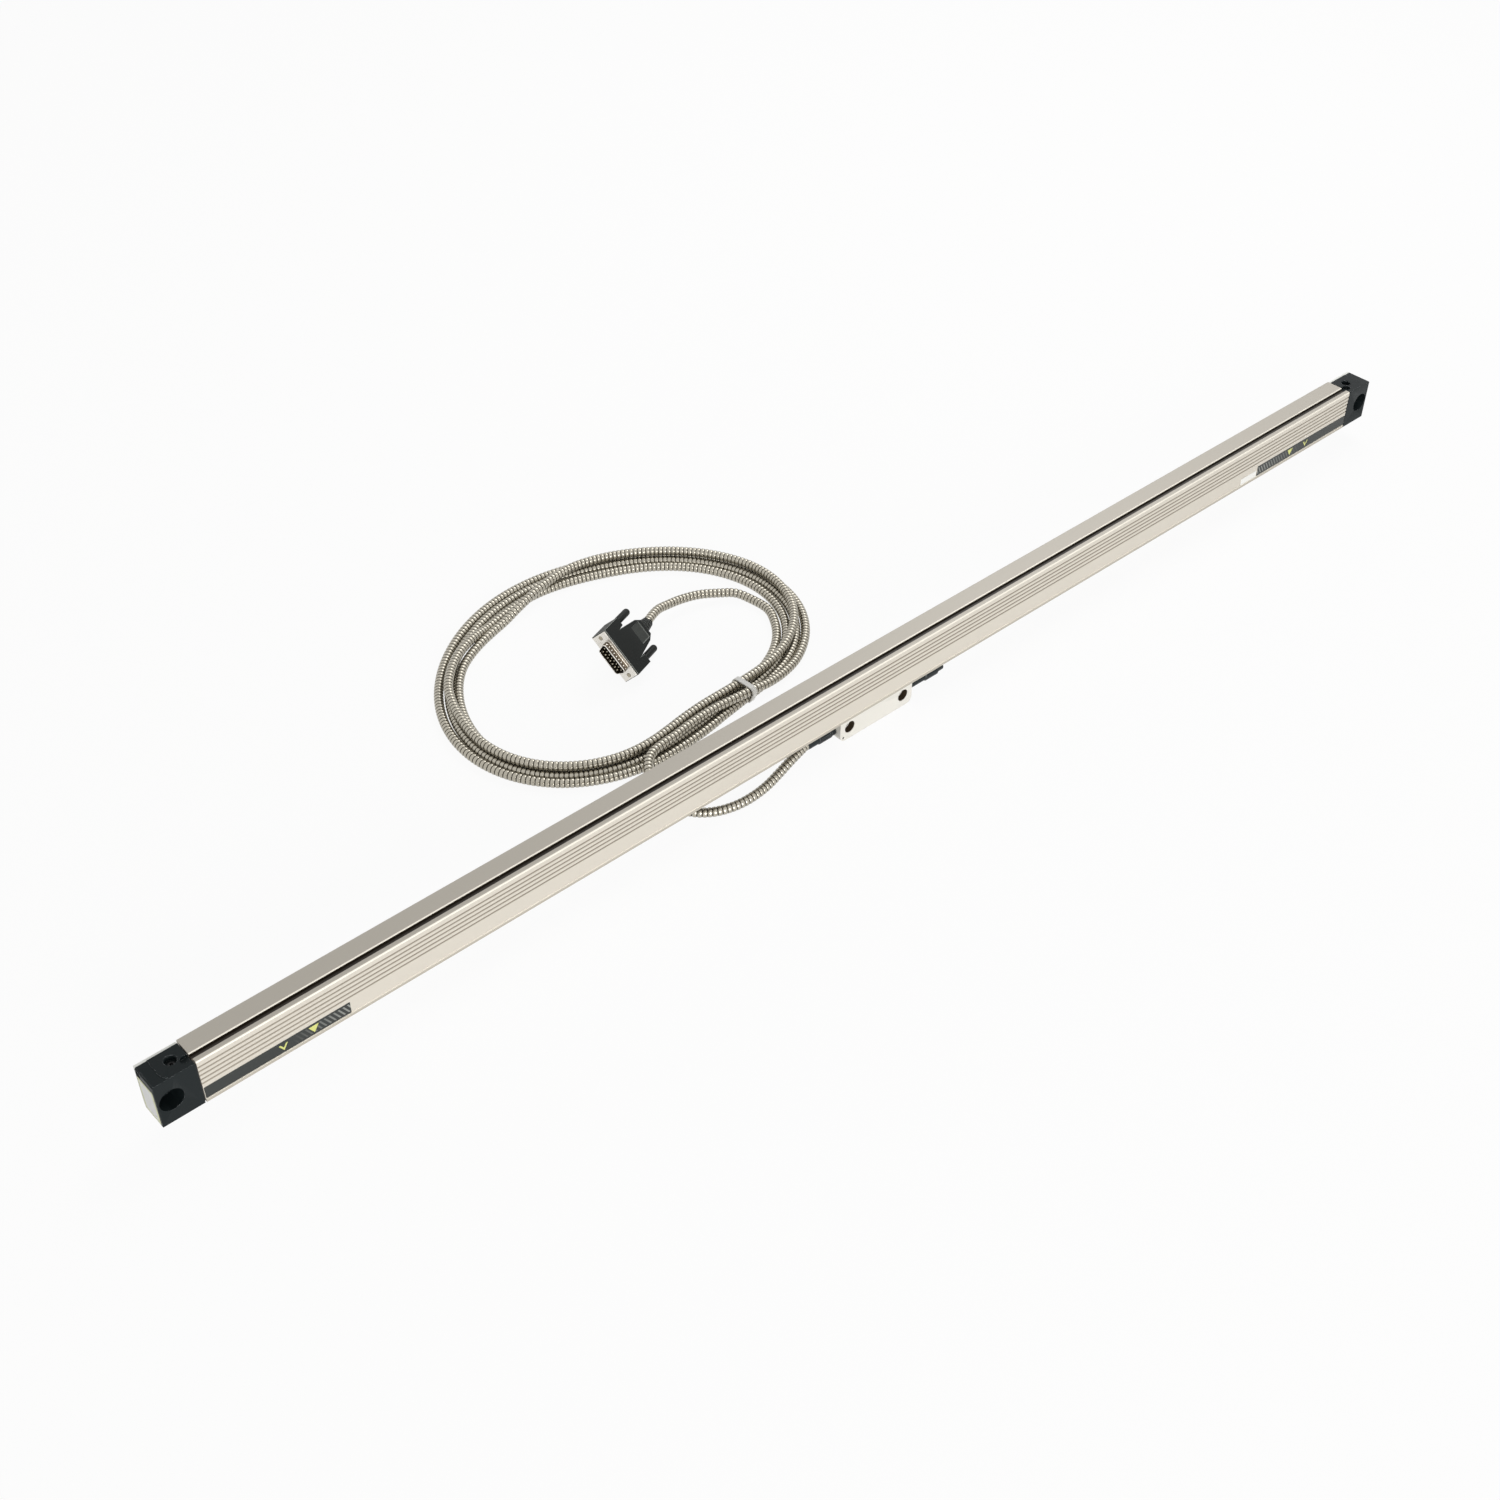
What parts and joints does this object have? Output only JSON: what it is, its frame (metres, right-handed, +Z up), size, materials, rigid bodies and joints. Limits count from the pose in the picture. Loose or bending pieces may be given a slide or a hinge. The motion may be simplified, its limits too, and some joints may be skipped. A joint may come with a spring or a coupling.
{
  "type": "linear glass scale",
  "caption": "Sealed linear glass scale: slotted aluminium housing between two end blocks, sliding scanning head, armoured cable with a D plug.",
  "frame": {"origin": "on the surface that the scanning head stands on, under the middle of the housing", "axes": "+X along the scale away from the cable's end, +Y from the front face to the back face, +Z up"},
  "size_m": [1.13, 0.3025, 0.052],
  "materials": {
    "housing_aluminium": "satin anodised",
    "block_black": "satin black",
    "head_metal": "satin",
    "steel": "satin",
    "dark_steel": "black oxide",
    "gasket_rubber": "matt",
    "scale_glass": "polished",
    "bond": "matt",
    "carriage_metal": "matt",
    "module_plastic": "matt",
    "board_green": "satin",
    "connector_black": "satin black",
    "cable_armour": "satin metal armour",
    "tie_white": "satin",
    "plug_black": "satin",
    "shell_plated": "satin nickel",
    "insulator_black": "matt",
    "contact_gold": "polished"
  },
  "bodies": {
    "scale_unit": {"scale_housing": "housing_aluminium", "left_end_block": "block_black", "right_end_block": "block_black", "mounting_pads": "head_metal", "end_gaskets": "gasket_rubber", "end_block_screws": "dark_steel", "air_port_screws": "dark_steel", "glass_scale": "scale_glass", "glass_bond": "bond", "front_lip_seal": "gasket_rubber", "rear_lip_seal": "gasket_rubber"},
    "reading_head": {"head_block": "head_metal", "head_pin": "dark_steel", "head_blade": "steel", "blade_screws": "steel", "carriage_frame": "carriage_metal", "roller_pins": "steel", "light_module": "module_plastic", "condenser_lens": "scale_glass", "scanning_reticle": "scale_glass", "detector_board": "board_green", "photo_cells": "module_plastic", "coupling_wire": "steel", "port_seals": "gasket_rubber", "connector_body": "connector_black", "connector_collar": "connector_black", "connector_sleeve": "connector_black", "blind_plug": "connector_black", "cable_lead": "cable_armour", "cable_coil": "cable_armour", "cable_tail": "cable_armour", "cable_tie": "tie_white", "plug_hood": "plug_black", "plug_boot": "plug_black", "plug_shell": "shell_plated", "plug_insulator": "insulator_black", "plug_pins": "contact_gold", "plug_thumbscrews": "plug_black"},
    "edge_roller_a": {"edge_roller_left": "steel"},
    "edge_roller_b": {"edge_roller_right": "steel"},
    "face_roller_a": {"face_roller_left": "steel"},
    "face_roller_b": {"face_roller_right": "steel"}
  },
  "joints": [
    {"name": "head_slide", "type": "slide", "parent": "scale_unit", "child": "reading_head", "axis": [1, 0, 0], "range_m": [-0.499, 0.511]},
    {"name": "edge_roll_a", "type": "hinge", "parent": "reading_head", "child": "edge_roller_a", "pos_m": [-0.026, 0, 0.0323], "axis": [0, 1, 0], "continuous": true},
    {"name": "edge_roll_b", "type": "hinge", "parent": "reading_head", "child": "edge_roller_b", "pos_m": [0.014, 0, 0.0323], "axis": [0, 1, 0], "continuous": true},
    {"name": "face_roll_a", "type": "hinge", "parent": "reading_head", "child": "face_roller_a", "pos_m": [-0.026, -0.0033, 0.0397], "axis": [0, 0, 1], "continuous": true},
    {"name": "face_roll_b", "type": "hinge", "parent": "reading_head", "child": "face_roller_b", "pos_m": [0.014, -0.0033, 0.0397], "axis": [0, 0, 1], "continuous": true}
  ],
  "couplings": [
    {"joint": "edge_roll_a", "follows": "head_slide", "rad_per_m": -333.33},
    {"joint": "edge_roll_b", "follows": "head_slide", "rad_per_m": -333.33},
    {"joint": "face_roll_a", "follows": "head_slide", "rad_per_m": 555.56},
    {"joint": "face_roll_b", "follows": "head_slide", "rad_per_m": 555.56}
  ]
}
